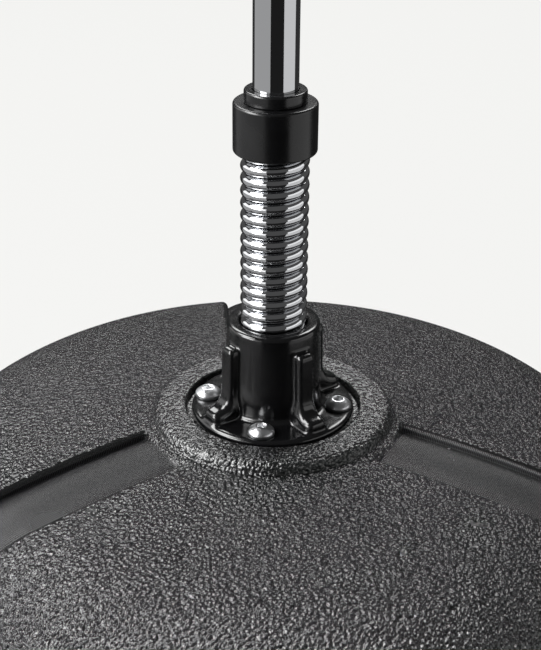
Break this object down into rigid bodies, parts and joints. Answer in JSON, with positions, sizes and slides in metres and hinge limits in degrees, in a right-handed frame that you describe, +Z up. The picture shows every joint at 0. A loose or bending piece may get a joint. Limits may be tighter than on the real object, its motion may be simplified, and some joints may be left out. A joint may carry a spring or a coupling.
{
  "type": "speed bag stand",
  "caption": "Free-standing speed bag stand: hollow domed ballast base, bolted socket, bending coil spring, collar and telescopic pole with a stud for the bag.",
  "frame": {"origin": "on the floor under the pole's axis, at the centre of the base", "axes": "+Z up along the pole, -Y towards the front, +X to the right"},
  "size_m": [0.472, 0.472, 1.0671],
  "materials": {
    "base_pe": "rotomoulded, pebbled",
    "foot_rubber": "matt",
    "cap_plastic": "moulded, ribbed",
    "seal_rubber": "matt",
    "socket_plastic": "gloss black enamel on cast alloy",
    "screw_chrome": "bright chrome",
    "insert_brass": "turned",
    "zinc_steel": "zinc plated",
    "plain_steel": "turned",
    "spring_chrome": "bright chrome",
    "collar_black": "satin black enamel",
    "bush_black": "gloss moulded",
    "black_oxide": "black oxide",
    "pole_chrome": "bright chrome tube",
    "clamp_plastic": "moulded, fine grain",
    "nylon_dark": "moulded nylon",
    "nylon_natural": "moulded nylon"
  },
  "bodies": {
    "base": {"base_shell": "base_pe", "foot_1": "foot_rubber", "foot_2": "foot_rubber", "foot_3": "foot_rubber", "foot_4": "foot_rubber", "foot_5": "foot_rubber", "foot_6": "foot_rubber", "socket_flange": "socket_plastic", "flange_screws": "screw_chrome", "threaded_inserts": "insert_brass", "anchor_bolt": "zinc_steel", "anchor_washer": "zinc_steel", "spring_plug_lower": "plain_steel"},
    "filler_seal": {"filler_gasket": "seal_rubber"},
    "filler_cap": {"filler_cap": "cap_plastic"},
    "spring": {"spring": "spring_chrome"},
    "pole": {"coupling_stem": "plain_steel", "coupling_collar": "collar_black", "collar_grub_screws": "black_oxide", "pole_bush": "bush_black", "lower_pole": "pole_chrome", "height_clamp": "clamp_plastic", "clamp_bush": "nylon_dark"},
    "clamp_pad": {"clamp_pad": "insert_brass"},
    "clamp_knob": {"clamp_knob": "clamp_plastic", "knob_screw": "zinc_steel"},
    "upper_pole": {"upper_pole": "pole_chrome", "guide_bush": "nylon_natural", "top_plug": "cap_plastic", "stud_washer": "zinc_steel", "stud_nut": "zinc_steel", "bag_stud": "zinc_steel"}
  },
  "joints": [
    {"name": "bend_side", "type": "hinge", "parent": "base", "child": "spring", "pos_m": [0, 0, 0.20287], "axis": [0, 1, 0], "range_deg": [-25, 25], "stiffness_Nm_per_rad": 60, "deforming": ["spring"]},
    {"name": "bend_front", "type": "hinge", "parent": "spring", "child": "pole", "pos_m": [0, 0, 0.25372], "axis": [1, 0, 0], "range_deg": [-25, 25], "stiffness_Nm_per_rad": 60, "deforming": ["spring"]},
    {"name": "height", "type": "slide", "parent": "pole", "child": "upper_pole", "axis": [0, 0, 1], "range_m": [0, 0.28]},
    {"name": "pad_travel", "type": "slide", "parent": "pole", "child": "clamp_pad", "axis": [1, 0, 0], "range_m": [0, 0.0025]},
    {"name": "knob_turn", "type": "hinge", "parent": "clamp_pad", "child": "clamp_knob", "pos_m": [0.02, 0, 0.78814], "axis": [1, 0, 0], "range_deg": [0, 720]},
    {"name": "cap_lift", "type": "slide", "parent": "base", "child": "filler_seal", "axis": [-0.5736, 0, 0.8192], "range_m": [0, 0.009]},
    {"name": "cap_turn", "type": "hinge", "parent": "filler_seal", "child": "filler_cap", "pos_m": [-0.20592, 0, 0.101], "axis": [-0.5736, 0, 0.8192], "range_deg": [0, 540]}
  ],
  "couplings": [
    {"joint": "knob_turn", "follows": "pad_travel", "rad_per_m": 5026.5},
    {"joint": "cap_turn", "follows": "cap_lift", "rad_per_m": 1047.2}
  ]
}
